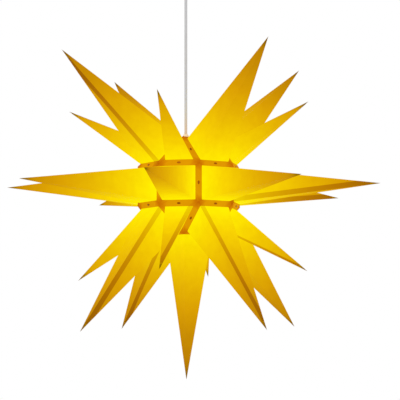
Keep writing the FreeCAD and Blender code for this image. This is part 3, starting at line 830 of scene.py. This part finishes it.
# %% Plastic, board, glaze and glass
plain_finishes = {
    "canopy_white": ((0.74, 0.74, 0.72), (0.80, 0.80, 0.785), 0.025, (0.34, 0.46), 0.0016, 0.00008),
    "lamp_white": ((0.78, 0.78, 0.76), (0.84, 0.84, 0.82), 0.012, (0.32, 0.42), 0.0005, 0.00002),
    "block_plastic": ((0.66, 0.66, 0.63), (0.74, 0.74, 0.71), 0.008, (0.22, 0.34), 0.0008, 0.00002),
    "grey_board": ((0.22, 0.20, 0.17), (0.31, 0.285, 0.25), 0.003, (0.80, 0.95), 0.0004, 0.00006),
    "glazed_insert": ((0.72, 0.70, 0.63), (0.80, 0.78, 0.71), 0.009, (0.12, 0.20), 0.0040, 0.00008),
    "black_glass": ((0.006, 0.006, 0.008), (0.014, 0.014, 0.018), 0.006, (0.06, 0.14), 0.0030, 0.00004),
    "board_aluminium": ((0.62, 0.63, 0.64), (0.72, 0.73, 0.74), 0.006, (0.40, 0.55), 0.0005, 0.00002),
}
own_gloss = {
    "grey_board": {"Specular_IOR_Level": 0.15},
    "glazed_insert": {"Coat_Weight": 0.8, "Coat_Roughness": 0.06},
    "black_glass": {"Specular_IOR_Level": 0.6},
}
for plain_name, recipe in plain_finishes.items():
    finishes[plain_name] = two_tone(plain_name, *recipe, **own_gloss.get(plain_name, {}))
print(", ".join(plain_finishes))

# %% Metals
metals = {
    "dark_brass": ((0.300, 0.085, 0.004), (0.440, 0.135, 0.008), 0.0022, (0.38, 0.62), 0.0004, 0.00003),
    "zinc_steel": ((0.42, 0.43, 0.45), (0.60, 0.61, 0.63), 0.0030, (0.26, 0.44), 0.0003, 0.00001),
    "bright_brass": ((0.56, 0.37, 0.12), (0.72, 0.50, 0.19), 0.0040, (0.18, 0.34), 0.0003, 0.00001),
    "nickel": ((0.50, 0.48, 0.45), (0.64, 0.62, 0.59), 0.0050, (0.20, 0.32), 0.0003, 0.00001),
}
for metal_name, recipe in metals.items():
    finishes[metal_name] = two_tone(metal_name, *recipe, Metallic=1.0)
print(", ".join(metals))

# %% [markdown]
# The lamp's globe is milky plastic that is lit from inside. It cannot be seen through the paper,
# but someone who lifts the star apart will look at it, so it glows a little and keeps its shape.

# %% Lamp globe
globe_light = [(0.30, (0.92, 0.80, 0.60)), (0.70, (1.0, 0.88, 0.68))]
globe_patch = 0.02


def opal_globe():
    """Milky plastic with a soft, slightly uneven light of its own."""
    material = two_tone(
        "opal_globe", (0.84, 0.82, 0.76), (0.90, 0.88, 0.83), 0.015, (0.30, 0.40), 0.0006, 0.00002,
        Emission_Strength=0.6,
    )
    tree = material.node_tree
    place = add(tree, "ShaderNodeTexCoord").outputs["Object"]
    glow = ramp(tree, noise(tree, place, globe_patch), globe_light)
    tree.links.new(glow, tree.nodes["Principled BSDF"].inputs["Emission Color"])
    return material


finishes["opal_globe"] = opal_globe()
for subpart in frame["record"]["subparts"]:
    give(nodes[subpart["node"]], finishes[subpart["material_slot"]])
for piece in paper_pieces:
    give(piece, finishes["star_paper"])
give(lamp_cord, finishes["cord_sheath"])
print(len(finishes), "finishes on", len(nodes), "construction pieces")

# %% [markdown]
# The star hangs in a pale studio over a pale floor. The sky lights it evenly from all sides, and
# two broad lamps, one high on the left and a weaker one on the right, give the folds a little
# shape. Camera rays and mirror rays see the sky as pure white, whatever it gives as light, so
# the background is white without more light on the paper.

# %% Floor, backdrop and light
floor_height = -2.4
floor_reach = 30
floor_squares = 8
floor_finish = ((0.88, 0.88, 0.88), (0.91, 0.91, 0.91), 0.4, (0.7, 0.8), 0.01, 0.0002)
sky_light = 0.72
lamps = {
    "high_left": ((-1.4, -1.6, 0.5), 1.2, 11),
    "low_right": ((1.7, -1.1, -0.6), 1.4, 6),
}

bm = bmesh.new()
bmesh.ops.create_grid(
    bm, x_segments=floor_squares, y_segments=floor_squares, size=floor_reach,
    matrix=Matrix.Translation((0, 0, floor_height)),
)
floor = show("floor", to_mesh(bm, "floor"))
give(floor, two_tone("floor", *floor_finish))

for lamp_name, (place, width, power) in lamps.items():
    light = bpy.data.lights.new(lamp_name, "AREA")
    light.size = width
    light.energy = power
    lamp = bpy.data.objects.new(lamp_name, light)
    lamp.location = place
    lamp.rotation_euler = (star_centre - Vector(place)).to_track_quat("-Z", "Y").to_euler()
    lamp.visible_camera = False
    bpy.context.scene.collection.objects.link(lamp)

world = bpy.data.worlds.new("studio")
world.use_nodes = True
bpy.context.scene.world = world
tree = world.node_tree
tree.nodes.clear()
rays = add(tree, "ShaderNodeLightPath").outputs
direct = add(
    tree, "ShaderNodeMath", {0: rays["Is Camera Ray"], 1: rays["Is Glossy Ray"]}, operation="MAXIMUM"
).outputs["Value"]
seen = add(
    tree, "ShaderNodeMath", {0: direct, 1: rays["Is Transmission Ray"]}, operation="MAXIMUM"
).outputs["Value"]
backdrop = add(tree, "ShaderNodeBackground", {"Color": (1, 1, 1, 1), "Strength": 1})
sky = add(tree, "ShaderNodeBackground", {"Color": (1, 1, 1, 1), "Strength": sky_light})
mix = add(tree, "ShaderNodeMixShader", {
    "Fac": seen, 1: sky.outputs["Background"], 2: backdrop.outputs["Background"],
})
add(tree, "ShaderNodeOutputWorld", {"Surface": mix.outputs["Shader"]})
bpy.context.scene.view_settings.view_transform = "Standard"
print("floor at", floor_height, "m,", len(lamps), "lamps")
